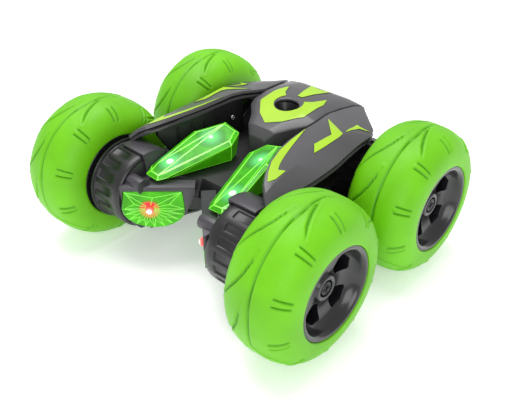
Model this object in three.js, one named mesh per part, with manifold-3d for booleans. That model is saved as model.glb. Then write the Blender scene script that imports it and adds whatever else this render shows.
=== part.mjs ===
// Double-sided stunt car: a low chassis between four large balloon tyres, the same above and below
// its axle plane. Millimetres, +Z up, +X to the car's right, the front facing -Y, the ground at z = 0.

import * as THREE from 'three';
import { mergeVertices } from 'three/addons/utils/BufferGeometryUtils.js';
import Module from 'manifold-3d';

const wasm = await Module();
wasm.setup();

// ---- Driving dimensions -------------------------------------------------------------------------
const TYRE_RADIUS = 40;
const TYRE_WIDTH = 38.2;
const TRACK = 147.8; // between the tyres' middle planes
const WHEELBASE = 87.3;
const GAP = 0.3; // clearance between touching pieces
const WALL = 1.8; // moulded wall thickness
const WHEEL_SIDES = 24;
const DRUM_SIDES = 24;
const MERGE_DISTANCE = 1e-4;

const TYRE_MIDDLE = TRACK / 2;
const TYRE_INNER = TYRE_MIDDLE - TYRE_WIDTH / 2;
const TYRE_OUTER = TYRE_MIDDLE + TYRE_WIDTH / 2;
const BEAD_RADIUS = 23.6;
const BEAD_SEAT_RADIUS = 21.6; // the rim's barrel between its two lips
const TYRE_FULLNESS = 2.5; // exponent of the tyre's rounded section
const TYRE_WALL = 2.6;
const BEAD_WIDTH = 5.5;

const RIM_DISH_DEPTH = 8;
const RIM_WEB = 3;
const RIM_HUB_RADIUS = 6.5;
const SPOKES = 5;
const WINDOW = { inner: 9.2, shoulder: 17.2, outer: 17.9, innerHalfAngle: 0.18, outerHalfAngle: 0.36 };

const AXLE_RADIUS = 1.5;
const AXLE_CLEARANCE = 0.3;
const AXLE_INNER_END = 36.5;

const DRUM_RADIUS = 21.5;
const DRUM_FLANGE_RADIUS = 22.9;
const DRUM_OUTER = 52.5;
const DRUM_INNER = 31.5;
const DRUM_GROOVES = 18;
const DRUM_GROOVE = { depth: 1.1, width: 3.2, from: 39, to: 50.2 };
const BUSH_RADIUS = 4;
const COVER_RADIUS = 18.9;
const ARM_RADIUS = 10; // the short arm between the chassis side and each gearbox
const COWL = { radius: 23.2, wall: 1.4, from: 30.1, to: 47, start: 84, end: 124 }; // angles in degrees

const GEAR_MODULE = 0.75;
const GEAR_TEETH = 24;
const PINION_TEETH = 8;
const GEAR_BACKLASH = 0.2; // added to the distance between the gear centres
const GEAR_CENTRES = GEAR_MODULE * (GEAR_TEETH + PINION_TEETH) / 2 + GEAR_BACKLASH;
const GEAR_FACE = { from: 47.2, to: 50.2 };
const MOTOR = { radius: 6, flat: 5, from: 34.6, to: 46, shaft: 1 };

const TRAY_HEIGHT = 10; // each half of the chassis above or below the axle plane
const TRAY_HALF_WIDTH = 27;
const DECK = { halfWidth: 46, halfLength: 21.5 };
const POD_WELL = { halfWidth: 17, front: 26, rear: 62 }; // opening under each cockpit shell
const POD_BASE = TRAY_HEIGHT + GAP;

const STUB = { radius: 4, upperInner: 21.5, lowerInner: 25, forward: 10.9, height: 11.3 };
const LAMP = { halfWidth: 16.2, top: 8.6, bowl: -2, bottom: -13.6, lens: 2.4 };
const LAMP_HOUSING = { depth: 7.5, brow: 2.6, cheek: 22, cheekFoot: 16.4, tuck: 0.6 };
const LAMP_LED = { radius: 2.4, length: 2.4, outwards: 2, height: -2.6 };
const LAMP_CENTRE = new THREE.Vector3(18.5, -52.4, 0);
const LAMP_YAW = THREE.MathUtils.degToRad(-42.5); // turns the lens inwards and forwards

const LOWER_BAR_SHARE = 0.6; // the lower light bars' reach in front of the axle middle, against the upper
const LOWER_CREST_SHARE = 0.5; // how far the lower wings rise from their edges, against the upper

const DOOR = { halfWidth: 12, front: 30, rear: 58, face: -28.6, thickness: 1.8, gap: 0.6 };
const BATTERY = { cellRadius: 7.6, length: 26, middle: 45, height: -18.7 };
const SWITCH = { y: -13, travel: 3, stemHalf: 1.4, stemLength: 4, slotHalf: 1.8 };

// ---- Materials ----------------------------------------------------------------------------------
function material(color, roughness, metalness, opacity = 1) {
  return new THREE.MeshStandardMaterial({ color, roughness, metalness, opacity, transparent: opacity < 1 });
}
const FINISH = {
  tyre: () => material(0x7ddc1a, 0.6, 0),
  rim: () => material(0x17171a, 0.35, 0),
  shell: () => material(0x55525a, 0.45, 0),
  chassis: () => material(0x1c1c1f, 0.55, 0),
  housing: () => material(0x34343a, 0.5, 0),
  clearGreen: () => material(0x4be81e, 0.12, 0, 0.7),
  redLed: () => material(0xff3030, 0.2, 0),
  steel: () => material(0xb8babd, 0.3, 1),
  bronze: () => material(0xa9793f, 0.45, 1),
  nylon: () => material(0xe6e3d8, 0.5, 0),
  board: () => material(0x14603a, 0.5, 0),
  battery: () => material(0x2f5fa8, 0.4, 0),
};

// ---- Solid helpers ------------------------------------------------------------------------------
function toSolid(geometry) {
  const merged = outward(geometry);
  return new wasm.Manifold(new wasm.Mesh({
    numProp: 3,
    vertProperties: new Float32Array(merged.attributes.position.array),
    triVerts: new Uint32Array(merged.index.array),
  }));
}

function fromSolid(solid) {
  const mesh = solid.getMesh();
  const geometry = new THREE.BufferGeometry();
  geometry.setAttribute('position', new THREE.BufferAttribute(new Float32Array(mesh.vertProperties), 3));
  geometry.setIndex(new THREE.BufferAttribute(new Uint32Array(mesh.triVerts), 1));
  return geometry;
}

function join(...geometries) {
  return fromSolid(geometries.map(toSolid).reduce((whole, piece) => whole.add(piece)));
}

function cut(geometry, ...tools) {
  return fromSolid(tools.map(toSolid).reduce((whole, tool) => whole.subtract(tool), toSolid(geometry)));
}

// Merges a closed geometry's shared corners and turns its faces outwards.
function outward(geometry) {
  const bare = geometry.clone();
  bare.deleteAttribute('normal');
  bare.deleteAttribute('uv');
  const merged = mergeVertices(bare, MERGE_DISTANCE);
  const index = merged.index.array;
  const at = (i) => new THREE.Vector3().fromBufferAttribute(merged.attributes.position, i);
  let volume = 0;
  for (let i = 0; i < index.length; i += 3) {
    volume += at(index[i]).dot(at(index[i + 1]).cross(at(index[i + 2])));
  }
  if (volume < 0) {
    for (let i = 0; i < index.length; i += 3) {
      [index[i + 1], index[i + 2]] = [index[i + 2], index[i + 1]];
    }
  }
  return merged;
}

function mirrored(geometry, axis) {
  const scale = { x: [-1, 1, 1], z: [1, 1, -1] }[axis];
  return outward(geometry.clone().scale(...scale));
}

function box(x0, x1, y0, y1, z0, z1) {
  return new THREE.BoxGeometry(x1 - x0, y1 - y0, z1 - z0)
    .translate((x0 + x1) / 2, (y0 + y1) / 2, (z0 + z1) / 2);
}

// A cylinder along X between two x values, centred at (y, z).
function barX(radius, x0, x1, sides = 16, y = 0, z = 0) {
  return new THREE.CylinderGeometry(radius, radius, x1 - x0, sides)
    .rotateZ(Math.PI / 2)
    .translate((x0 + x1) / 2, y, z);
}

// A closed ring of revolution about the X axis from [x, r] points.
function turnedX(profile, sides) {
  const points = [...profile, profile[0]].map(([x, r]) => new THREE.Vector2(r, x));
  return outward(new THREE.LatheGeometry(points, sides).rotateZ(-Math.PI / 2));
}

// Extrudes an outline drawn in the YZ plane along X.
function extrudedX(outline, x0, x1) {
  const shape = new THREE.Shape(outline.map(([y, z]) => new THREE.Vector2(y, z)));
  return new THREE.ExtrudeGeometry(shape, { depth: x1 - x0, bevelEnabled: false })
    .rotateY(Math.PI / 2)
    .rotateX(Math.PI / 2)
    .translate(x0, 0, 0);
}

// Joins rings of equal point counts into one closed solid with flat-fan ends.
function loft(rings) {
  const count = rings[0].length;
  const positions = rings.flat().flatMap((v) => [v.x, v.y, v.z]);
  const index = [];
  for (let r = 0; r < rings.length - 1; r += 1) {
    for (let i = 0; i < count; i += 1) {
      const a = r * count + i;
      const b = r * count + (i + 1) % count;
      index.push(a, b, b + count, a, b + count, a + count);
    }
  }
  const last = (rings.length - 1) * count;
  const contour = (ring) => {
    const u = ring[1].clone().sub(ring[0]).normalize();
    const normal = new THREE.Vector3();
    ring.forEach((p, i) => normal.add(p.clone().cross(ring[(i + 1) % count])));
    const w = normal.normalize().clone().cross(u);
    return ring.map((p) => new THREE.Vector2(p.dot(u), p.dot(w)));
  };
  for (const [a, b, c] of THREE.ShapeUtils.triangulateShape(contour(rings[0]), [])) {
    index.push(c, b, a);
  }
  for (const [a, b, c] of THREE.ShapeUtils.triangulateShape(contour(rings.at(-1)), [])) {
    index.push(last + a, last + b, last + c);
  }
  const geometry = new THREE.BufferGeometry();
  geometry.setAttribute('position', new THREE.Float32BufferAttribute(positions, 3));
  geometry.setIndex(index);
  return outward(geometry);
}

// ---- Wheel pieces, drawn for the car's right side with the axle on the X axis -------------------
// Points round the tyre's rounded section from its inner side to its outer side, without the two ends.
function tyreSection(shrink, steps) {
  const power = 2 / TYRE_FULLNESS;
  const height = TYRE_RADIUS - BEAD_RADIUS - shrink;
  const points = [];
  for (let i = 1; i < steps; i += 1) {
    const angle = Math.PI * i / steps;
    const across = -Math.sign(Math.cos(angle)) * Math.abs(Math.cos(angle)) ** power;
    points.push([
      TYRE_MIDDLE + across * (TYRE_WIDTH / 2 - shrink),
      BEAD_RADIUS + height * Math.sin(angle) ** power,
    ]);
  }
  return points;
}

// A hollow balloon tyre, open between its two beads.
function tyreGeometry() {
  const profile = [
    [TYRE_INNER, BEAD_RADIUS], ...tyreSection(0, 8), [TYRE_OUTER, BEAD_RADIUS],
    [TYRE_OUTER - 2, BEAD_RADIUS], [TYRE_OUTER - 3, BEAD_SEAT_RADIUS],
    [TYRE_OUTER - BEAD_WIDTH, BEAD_SEAT_RADIUS], ...tyreSection(TYRE_WALL, 6).reverse(),
    [TYRE_INNER + BEAD_WIDTH, BEAD_SEAT_RADIUS],
    [TYRE_INNER + 3, BEAD_SEAT_RADIUS], [TYRE_INNER + 2, BEAD_RADIUS],
  ];
  return turnedX(profile, WHEEL_SIDES);
}

function rimGeometry() {
  const outer = TYRE_OUTER - 0.4;
  const inner = TYRE_INNER + 0.4;
  const face = outer - RIM_DISH_DEPTH;
  const lip = BEAD_RADIUS - GAP;
  const seat = BEAD_SEAT_RADIUS - GAP;
  const hollow = seat - WALL;
  const bore = AXLE_RADIUS + AXLE_CLEARANCE;
  const shell = turnedX([
    [inner, hollow], [inner, lip], [inner + 1.4, lip], [inner + 2.4, seat],
    [outer - 2.4, seat], [outer - 1.4, lip], [outer, lip], [outer, lip - 2.5],
    [outer - 1.2, hollow + 0.1], [face, hollow - 0.6],
    [face - 1.2, RIM_HUB_RADIUS + 2], [face - 1.2, RIM_HUB_RADIUS],
    [face, RIM_HUB_RADIUS - 1.5], [face, bore], [inner + 4, bore],
    [inner + 4, RIM_HUB_RADIUS - 1.5], [face - 1.2 - RIM_WEB, RIM_HUB_RADIUS],
    [face - RIM_WEB - 1, hollow - 0.6],
  ], WHEEL_SIDES);
  const windows = [];
  for (let i = 0; i < SPOKES; i += 1) {
    const middle = 2 * Math.PI * (i + 0.5) / SPOKES;
    const corner = (radius, half) => [radius * Math.cos(middle + half), radius * Math.sin(middle + half)];
    const outline = [
      corner(WINDOW.inner, -WINDOW.innerHalfAngle),
      corner(WINDOW.shoulder, -WINDOW.outerHalfAngle),
      corner(WINDOW.outer, 0),
      corner(WINDOW.shoulder, WINDOW.outerHalfAngle),
      corner(WINDOW.inner, WINDOW.innerHalfAngle),
    ];
    windows.push(extrudedX(outline, face - 8, face + 4));
  }
  return cut(shell, ...windows);
}

function gearOutline(teeth, phase) {
  const pitch = GEAR_MODULE * teeth / 2;
  const tip = pitch + 0.75 * GEAR_MODULE;
  const root = pitch - 1.2 * GEAR_MODULE;
  const step = 2 * Math.PI / teeth;
  const halfAtPitch = 0.4 * Math.PI * GEAR_MODULE / 2;
  const halfAtTip = halfAtPitch * 0.5;
  const halfAtRoot = halfAtPitch * 1.25;
  const outline = [];
  for (let i = 0; i < teeth; i += 1) {
    const middle = phase + i * step;
    const tooth = [[root, -halfAtRoot], [tip, -halfAtTip], [tip, halfAtTip], [root, halfAtRoot]];
    for (const [radius, half] of tooth) {
      const angle = middle + half / radius;
      outline.push([radius * Math.cos(angle), radius * Math.sin(angle)]);
    }
  }
  return outline;
}

function gearGeometry(teeth, phase, boreRadius) {
  const body = extrudedX(gearOutline(teeth, phase), GEAR_FACE.from, GEAR_FACE.to);
  return cut(body, barX(boreRadius, GEAR_FACE.from - 1, GEAR_FACE.to + 1, 12));
}

function axleGeometry() {
  return barX(AXLE_RADIUS, AXLE_INNER_END, TYRE_OUTER - RIM_DISH_DEPTH - 1, 12);
}

function wheelScrewGeometry() {
  const head = TYRE_OUTER - RIM_DISH_DEPTH - 0.4 + GAP;
  const disc = barX(3.4, head, head + 1.8, 16);
  const across = box(head + 1, head + 3, -2.4, 2.4, -0.5, 0.5);
  const along = box(head + 1, head + 3, -0.5, 0.5, -2.4, 2.4);
  return cut(disc, across, along);
}

// ---- Gearbox pieces -----------------------------------------------------------------------------
function drumGeometry() {
  const bore = BUSH_RADIUS + GAP;
  const cavity = DRUM_RADIUS - 2;
  const endWall = DRUM_OUTER - WALL;
  const drum = turnedX([
    [DRUM_OUTER, bore], [DRUM_OUTER, DRUM_FLANGE_RADIUS], [endWall, DRUM_FLANGE_RADIUS],
    [endWall, DRUM_RADIUS], [DRUM_INNER + 2, DRUM_RADIUS], [DRUM_INNER, DRUM_RADIUS - 1.2],
    [DRUM_INNER, cavity], [endWall, cavity], [endWall, bore],
  ], DRUM_SIDES);
  const grooves = [];
  for (let i = 0; i < DRUM_GROOVES; i += 1) {
    const half = DRUM_GROOVE.width / 2;
    const bottom = DRUM_RADIUS - DRUM_GROOVE.depth;
    const groove = box(DRUM_GROOVE.from, DRUM_GROOVE.to, -half, half, bottom, DRUM_RADIUS + 2);
    grooves.push(groove.rotateX(2 * Math.PI * (i + 0.5) / DRUM_GROOVES));
  }
  return cut(drum, ...grooves);
}

function bushGeometry() {
  const from = DRUM_OUTER - WALL - 0.1;
  const to = DRUM_OUTER + 1.2;
  return cut(barX(BUSH_RADIUS, from, to, 16), barX(AXLE_RADIUS + AXLE_CLEARANCE, from - 1, to + 1, 12));
}

function coverDisc() {
  const disc = barX(COVER_RADIUS, DRUM_INNER + 0.4, DRUM_INNER + 2.2, DRUM_SIDES);
  const boss = barX(ARM_RADIUS, TRAY_HALF_WIDTH + GAP, DRUM_INNER + 1, 16);
  return join(disc, boss);
}

// Half an ellipse below the lamp's bowl line, from the outer side round to the inner side.
function bowlPoints(shrink) {
  const steps = 10;
  const points = [];
  for (let i = 0; i <= steps; i += 1) {
    const angle = -Math.PI * i / steps;
    const across = (LAMP.halfWidth - shrink) * Math.cos(angle);
    points.push([across, LAMP.bowl + (LAMP.bowl - LAMP.bottom - shrink) * Math.sin(angle)]);
  }
  return points;
}

// The lens, across and up: nearly flat on top with a rounded bowl below.
function lensOutline(grow) {
  const half = LAMP.halfWidth + grow;
  return [[-half + 0.8, LAMP.top + grow], [half - 1.6, LAMP.top + grow], ...bowlPoints(-grow)];
}

// The housing has a brow over the lens and a cheek beside its inner end, and tucks in behind its bowl.
function lampHousingOutline() {
  const browTop = LAMP.top + LAMP_HOUSING.brow;
  const half = LAMP.halfWidth;
  const bowl = bowlPoints(LAMP_HOUSING.tuck).slice(0, -1);
  return [
    [-LAMP_HOUSING.cheek, LAMP.top - 1], [-LAMP_HOUSING.cheek, browTop], [half, browTop], ...bowl,
    [-LAMP_HOUSING.cheekFoot, LAMP.bowl - 4],
  ];
}

function lampSolid(outline, depthFrom, depthTo) {
  const shape = new THREE.Shape(outline.map(([across, up]) => new THREE.Vector2(across, up)));
  return new THREE.ExtrudeGeometry(shape, { depth: depthTo - depthFrom, bevelEnabled: false })
    .translate(0, 0, depthFrom)
    .rotateX(Math.PI / 2)
    .rotateZ(LAMP_YAW)
    .translate(LAMP_CENTRE.x, LAMP_CENTRE.y, LAMP_CENTRE.z);
}

function lampLensGeometry() {
  return lampSolid(lensOutline(0), -LAMP.lens, 0);
}

// A curved plate, above and below, that closes over the inner part of a front gearbox behind its top.
function cowlGeometry() {
  const steps = 8;
  const arc = (radius) => Array.from({ length: steps + 1 }, (_, i) => {
    const angle = THREE.MathUtils.degToRad(COWL.start + (COWL.end - COWL.start) * i / steps);
    return [-radius * Math.cos(angle), radius * Math.sin(angle)];
  });
  const { radius, wall, from, to } = COWL;
  const plate = extrudedX([...arc(radius), ...arc(radius - wall).reverse()], from, to);
  const root = extrudedX([...arc(radius), ...arc(ARM_RADIUS - 1).reverse()], from, DRUM_INNER - GAP);
  return join(plate, root);
}

// Front covers also carry the lamp housing and the two round stubs that stand beside it.
function frontCoverGeometry() {
  const stub = (inner, z) => barX(STUB.radius, inner, DRUM_INNER + 1, 12, -STUB.forward, z);
  const upperStub = stub(STUB.upperInner, STUB.height);
  const lowerStub = stub(STUB.lowerInner, -STUB.height);
  const toAxle = WHEELBASE / 2;
  const place = (solid) => solid.translate(0, toAxle, 0);
  const housing = place(lampSolid(lampHousingOutline(), -LAMP_HOUSING.depth, 0));
  const seat = place(lampSolid(lensOutline(GAP), -LAMP.lens - GAP, 1));
  const bulbRoom = place(lampSolid(lensOutline(-WALL - GAP), -LAMP_HOUSING.depth + WALL, 0));
  const [room, from, to] = [COVER_RADIUS, DRUM_INNER - GAP, DRUM_INNER + 8];
  const drumRoom = turnedX([[from, room], [from, room + 6], [to, room + 6], [to, room]], DRUM_SIDES);
  const cowl = cowlGeometry();
  const cover = cut(join(coverDisc(), upperStub, lowerStub, housing), seat, bulbRoom, drumRoom);
  return join(cover, cowl, mirrored(cowl, 'z'));
}

function motorGeometry() {
  const outline = [];
  const sides = 20;
  for (let i = 0; i < sides; i += 1) {
    const angle = 2 * Math.PI * i / sides;
    const z = THREE.MathUtils.clamp(MOTOR.radius * Math.sin(angle), -MOTOR.flat, MOTOR.flat);
    outline.push([MOTOR.radius * Math.cos(angle), z]);
  }
  const can = extrudedX(outline, MOTOR.from, MOTOR.to);
  return join(can, barX(MOTOR.shaft, MOTOR.to - 1, GEAR_FACE.to, 10));
}

// ---- Body pieces, drawn above the axle plane ----------------------------------------------------
// The chassis halves meet on the axle plane. Their front is notched and slopes back from that plane.
function trayOutline(z, inset) {
  const half = TRAY_HALF_WIDTH - inset;
  const front = (y, share) => y + share * z + inset;
  const right = [
    [0, front(-31, 0.4)], [7.6, front(-31, 0.4)], [13, front(-36, 0.4)], [18, front(-37.6, 0.4)],
    [half, front(-46.2, 0.4)],
    [half, 62 - inset], [half - 3, 65 - inset],
  ];
  const left = right.slice(1).reverse().map(([x, y]) => [-x, y]);
  return [...right, ...left].map(([x, y]) => new THREE.Vector3(x, y, z));
}

function trayGeometry(crestShare) {
  const seam = GAP / 2;
  const outer = loft([trayOutline(seam, 0), trayOutline(TRAY_HEIGHT, 0)]);
  const inner = loft([
    trayOutline(seam - 1, WALL).map((v) => v.setZ(seam - 1)),
    trayOutline(TRAY_HEIGHT - WALL, WALL),
  ]);
  const under = TRAY_HEIGHT - WALL;
  const { halfWidth, front, rear } = POD_WELL;
  const podWell = box(-halfWidth, halfWidth, front, rear, under - 3, under + 6);
  const deck = box(-DECK.halfWidth, DECK.halfWidth, -DECK.halfLength, DECK.halfLength, under, TRAY_HEIGHT);
  const wall = valleyWallGeometry(crestShare);
  return cut(join(cut(outer, inner), deck, wall, mirrored(wall, 'x')), podWell);
}

function lowerTrayGeometry() {
  const slot = box(
    -SWITCH.slotHalf, SWITCH.slotHalf,
    SWITCH.y - SWITCH.stemLength / 2 - GAP, SWITCH.y + SWITCH.stemLength / 2 + SWITCH.travel + GAP,
    -TRAY_HEIGHT - 1, -TRAY_HEIGHT + WALL + 1,
  );
  return cut(mirrored(trayGeometry(LOWER_CREST_SHARE), 'z'), slot);
}

// Cockpit sections from nose to tail: [y, half width, edge height, crown height].
const TOP_POD = [
  [6.5, 5.5, 22.5, 23], [9.8, 9.2, 27, 28], [17.6, 14.2, 28.3, 30.4], [24, 20.4, 30, 32.2],
  [28.5, 21.8, 31.4, 33.2], [38, 21.8, 32.6, 34.2], [50, 22.6, 31.8, 33.6], [60, 23.8, 30.4, 32.2],
  [66, 26.4, 28.4, 29.8],
];
const BOTTOM_POD = [
  [6.5, 5.5, 20, 20.6], [9.8, 9.2, 22.4, 23.4], [17.6, 14.2, 24.2, 26.2], [26, 20.4, 26, 28.6],
  [38, 21.8, 26.8, 28.6], [50, 22.6, 26.8, 28.6], [60.5, 23.8, 26.2, 28.6], [66, 26.4, 24.6, 26.6],
];
const INTAKE = { halfWidth: 7.2, halfLength: 6, y: 31 };
const CROWN_SHARE = 0.62; // half width of the flat crown as a share of the half width

function podGeometry(sections) {
  const ring = (inset) => ([y, w, edge, crown], i) => {
    const along = y + (i === 0 ? inset : 0) - (i === sections.length - 1 ? inset : 0);
    const half = w - inset;
    const base = inset > 0 ? POD_BASE - 1 : POD_BASE;
    const right = [[half, base], [half, edge - inset], [half * CROWN_SHARE, crown - inset]];
    const left = right.slice().reverse().map(([x, z]) => [-x, z]);
    return [...right, ...left].map(([x, z]) => new THREE.Vector3(x, along, z));
  };
  return cut(loft(sections.map(ring(0))), loft(sections.map(ring(WALL))));
}

function topPodGeometry() {
  const intake = new THREE.CylinderGeometry(1, 1, 12, 20)
    .rotateX(Math.PI / 2)
    .scale(INTAKE.halfWidth, INTAKE.halfLength, 1)
    .translate(0, INTAKE.y, 34);
  return cut(podGeometry(TOP_POD), intake);
}

function bottomPodGeometry() {
  const side = DOOR.halfWidth + GAP;
  const doorway = box(-side, side, DOOR.front - DOOR.gap, DOOR.rear + GAP, -DOOR.face - 4, -DOOR.face + 4);
  return mirrored(cut(podGeometry(BOTTOM_POD), doorway), 'z');
}

// The wing runs from a curved crest beside the light bars out over the gearboxes, then back round the
// cockpit: [crest], [fold], [outer edge] at each station from the front tip to the tail.
const WING = [
  [[42, -34.6, 30.6], [45.6, -37.6, 28.7], [49, -40.5, 25]],
  [[38, -29, 32.3], [44.6, -30.5, 30], [50.5, -32, 24.8]],
  [[34, -21, 34], [43.6, -21.5, 31], [51.6, -22, 25]],
  [[31, -11.6, 35.1], [42.9, -12, 31.3], [52.3, -12, 25.5]],
  [[29.3, -2, 35.6], [42.5, -1, 31.4], [52.3, -1, 26]],
  [[28.5, 8.6, 36], [42.5, 9, 31.7], [51.8, 9.8, 26.5]],
  [[28.3, 17, 36], [42.8, 17.5, 32.2], [51, 18, 27.2]],
  [[27, 25, 35.3], [43, 25, 32.6], [50.4, 25, 27.7]],
  [[24.6, 33, 33.9], [42.8, 32, 31.2], [49.8, 32, 28]],
  [[23.4, 39, 32.9], [42, 38.5, 29.9], [49.6, 40, 27.9]],
  [[24.4, 50, 31.8], [39.5, 48, 29.4], [46.4, 47, 27.8]],
  [[25.6, 58, 30.8], [32, 56.5, 29.6], [39.4, 53.4, 28.2]],
  [[27.6, 64.6, 28.9], [28.6, 64, 28.8], [30, 62.4, 28.4]],
];
const WING_THICKNESS = 1.7;

function wingStations(crestShare) {
  return WING.map(([crest, fold, edge]) => {
    const lowered = ([x, y, z]) => [x, y, edge[2] + (z - edge[2]) * crestShare];
    return [lowered(crest), lowered(fold), edge];
  });
}

function wingGeometry(crestShare) {
  const rings = wingStations(crestShare).map((station) => {
    const [crest, fold, edge] = station.map((p) => new THREE.Vector3(...p));
    const across = edge.clone().sub(crest).setY(0).normalize();
    const down = new THREE.Vector3(across.z, 0, -across.x).multiplyScalar(WING_THICKNESS);
    return [crest, fold, edge, edge.clone().add(down), fold.clone().add(down), crest.clone().add(down)];
  });
  return loft(rings);
}

// One side wall of the valley follows the crest below the wing. Its foot rises over the gearbox.
function valleyWallGeometry(crestShare) {
  const rings = wingStations(crestShare).slice(1, 8).map(([crest], i) => {
    const [x, y, z] = crest;
    const foot = i === 0 ? 24 : TRAY_HEIGHT - 1;
    const top = z - WING_THICKNESS - 1.2;
    return [[x + 0.4, foot], [x + 2.4, foot], [x + 2.4, top], [x + 0.4, top]]
      .map(([px, pz]) => new THREE.Vector3(px, y, pz));
  });
  return loft(rings);
}

// ---- Light bars, lamps and electrics ------------------------------------------------------------
// A faceted crystal on the valley floor, in three rings from its foot to its sloping top. On the
// underside the lamps leave less room, so the bar is drawn shorter towards the front.
function lightBarGeometry(lengthShare) {
  const footHeight = POD_BASE + GAP;
  const overHousing = LAMP.top + LAMP_HOUSING.brow + GAP;
  const footOutline = [
    [8, -5], [10.5, 1.5], [19, 2.4], [25, -12], [28, -38], [26.6, -45], [20, -45], [17.6, -40],
  ];
  const foot = footOutline.map(([x, y]) => [x, y, y < -36 ? overHousing : footHeight]);
  const shoulder = [
    [6, -6.5, 21], [10, 3.6, 23.4], [20.5, 4, 26], [27, -14, 25],
    [29.5, -42, 15.6], [27.6, -48, 13.6], [18.6, -48.2, 13.2], [16.2, -44.4, 13.8],
  ];
  const crown = [
    [8.6, -5.4, 22.6], [11.6, 1.8, 24.6], [18.8, 1.2, 26.6], [24.6, -14, 25.6],
    [27, -40, 16.8], [25.6, -45.8, 15.4], [20, -46, 15], [18.4, -42.8, 15.6],
  ];
  const placed = ([x, y, z]) => new THREE.Vector3(x, y < 0 ? y * lengthShare : y, z);
  return loft([foot, shoulder, crown].map((ring) => ring.map(placed)));
}

function redLedGeometry() {
  const depth = LAMP.lens + GAP + LAMP_LED.length / 2 + 0.2;
  return new THREE.CylinderGeometry(LAMP_LED.radius, LAMP_LED.radius, LAMP_LED.length, 14)
    .translate(LAMP_LED.outwards, depth, LAMP_LED.height)
    .rotateZ(LAMP_YAW)
    .translate(LAMP_CENTRE.x, LAMP_CENTRE.y, LAMP_CENTRE.z);
}

function boardGeometry() {
  const panel = box(-22, 22, -18, 22, -0.8, 0.8);
  const radioChip = box(-8, 2, -6, 4, 0.5, 2.4);
  const driverChips = [-15, 10].map((x) => box(x, x + 5, 8, 16, 0.5, 2.2));
  const socket = box(-5, 5, 15, 21, 0.5, 5.5);
  return join(panel, radioChip, ...driverChips, socket);
}

function batteryGeometry() {
  const { cellRadius, length, middle, height } = BATTERY;
  const cells = [-cellRadius, cellRadius].map((x) => (
    new THREE.CylinderGeometry(cellRadius, cellRadius, length, 16).translate(x, middle, height)
  ));
  const [front, rear] = [middle - length / 2, middle + length / 2];
  const wrap = box(-cellRadius, cellRadius, front, rear, height - cellRadius, height + cellRadius);
  return join(...cells, wrap);
}

function doorGeometry() {
  const { halfWidth, front, rear, face, thickness } = DOOR;
  const panel = box(-halfWidth, halfWidth, front, rear, face, face + thickness);
  const fingerGrip = box(-5, 5, rear - 4, rear - 2, face - 1, face + 0.8);
  return cut(panel, fingerGrip);
}

function switchGeometry() {
  const half = SWITCH.stemLength / 2;
  const floor = -TRAY_HEIGHT + WALL;
  const [front, rear] = [SWITCH.y - half, SWITCH.y + half];
  const slider = box(-3.2, 3.2, front - 2, rear + 2, floor + GAP, floor + 1.4);
  const stem = box(-SWITCH.stemHalf, SWITCH.stemHalf, front, rear, -TRAY_HEIGHT - 1.6, floor + 1);
  return join(slider, stem);
}

// ---- Assembly -----------------------------------------------------------------------------------
const car = new THREE.Group();

function add(parent, name, geometry, finish) {
  const mesh = new THREE.Mesh(geometry, FINISH[finish]());
  mesh.name = name;
  parent.add(mesh);
}

function addCorner(end, side) {
  const isFront = end === 'front';
  const name = `${end}_${side}`;
  const corner = new THREE.Group();
  corner.position.set(0, (isFront ? -1 : 1) * WHEELBASE / 2, TYRE_RADIUS);
  car.add(corner);
  const handed = (geometry) => (side === 'left' ? mirrored(geometry, 'x') : geometry);
  const towardsMiddle = (isFront ? 1 : -1) * GEAR_CENTRES;
  const boreRadius = AXLE_RADIUS + AXLE_CLEARANCE;

  add(corner, `tyre_${name}`, handed(tyreGeometry()), 'tyre');
  add(corner, `rim_${name}`, handed(rimGeometry()), 'rim');
  add(corner, `axle_${name}`, handed(axleGeometry()), 'steel');
  add(corner, `wheel_screw_${name}`, handed(wheelScrewGeometry()), 'steel');
  add(corner, `axle_gear_${name}`, handed(gearGeometry(GEAR_TEETH, 0, boreRadius)), 'nylon');
  add(corner, `axle_bush_${name}`, handed(bushGeometry()), 'bronze');
  add(corner, `gearbox_${name}`, handed(drumGeometry()), 'chassis');
  add(corner, `gearbox_cover_${name}`, handed(isFront ? frontCoverGeometry() : coverDisc()), 'housing');

  const pinion = gearGeometry(PINION_TEETH, Math.PI / PINION_TEETH, MOTOR.shaft + GAP);
  add(corner, `motor_pinion_${name}`, handed(pinion.translate(0, towardsMiddle, 0)), 'bronze');
  add(corner, `motor_${name}`, handed(motorGeometry().translate(0, towardsMiddle, 0)), 'steel');
}

for (const end of ['front', 'rear']) {
  for (const side of ['left', 'right']) {
    addCorner(end, side);
  }
}

const body = new THREE.Group();
body.position.z = TYRE_RADIUS;
car.add(body);

add(body, 'chassis_upper', trayGeometry(1), 'chassis');
add(body, 'chassis_lower', lowerTrayGeometry(), 'chassis');
add(body, 'cockpit_top', topPodGeometry(), 'shell');
add(body, 'cockpit_bottom', bottomPodGeometry(), 'shell');
add(body, 'battery_door', doorGeometry(), 'shell');
add(body, 'battery_pack', batteryGeometry(), 'battery');
add(body, 'circuit_board', boardGeometry(), 'board');
add(body, 'power_switch', switchGeometry(), 'housing');

for (const side of ['left', 'right']) {
  const handed = (geometry) => (side === 'left' ? mirrored(geometry, 'x') : geometry);
  add(body, `wing_top_${side}`, handed(wingGeometry(1)), 'shell');
  add(body, `wing_bottom_${side}`, mirrored(handed(wingGeometry(LOWER_CREST_SHARE)), 'z'), 'shell');
  add(body, `light_bar_top_${side}`, handed(lightBarGeometry(1)), 'clearGreen');
  const lowerBar = mirrored(handed(lightBarGeometry(LOWER_BAR_SHARE)), 'z');
  add(body, `light_bar_bottom_${side}`, lowerBar, 'clearGreen');
  add(body, `lamp_lens_${side}`, handed(lampLensGeometry()), 'clearGreen');
  add(body, `lamp_led_${side}`, handed(redLedGeometry()), 'redLed');
}

export default car;
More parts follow.
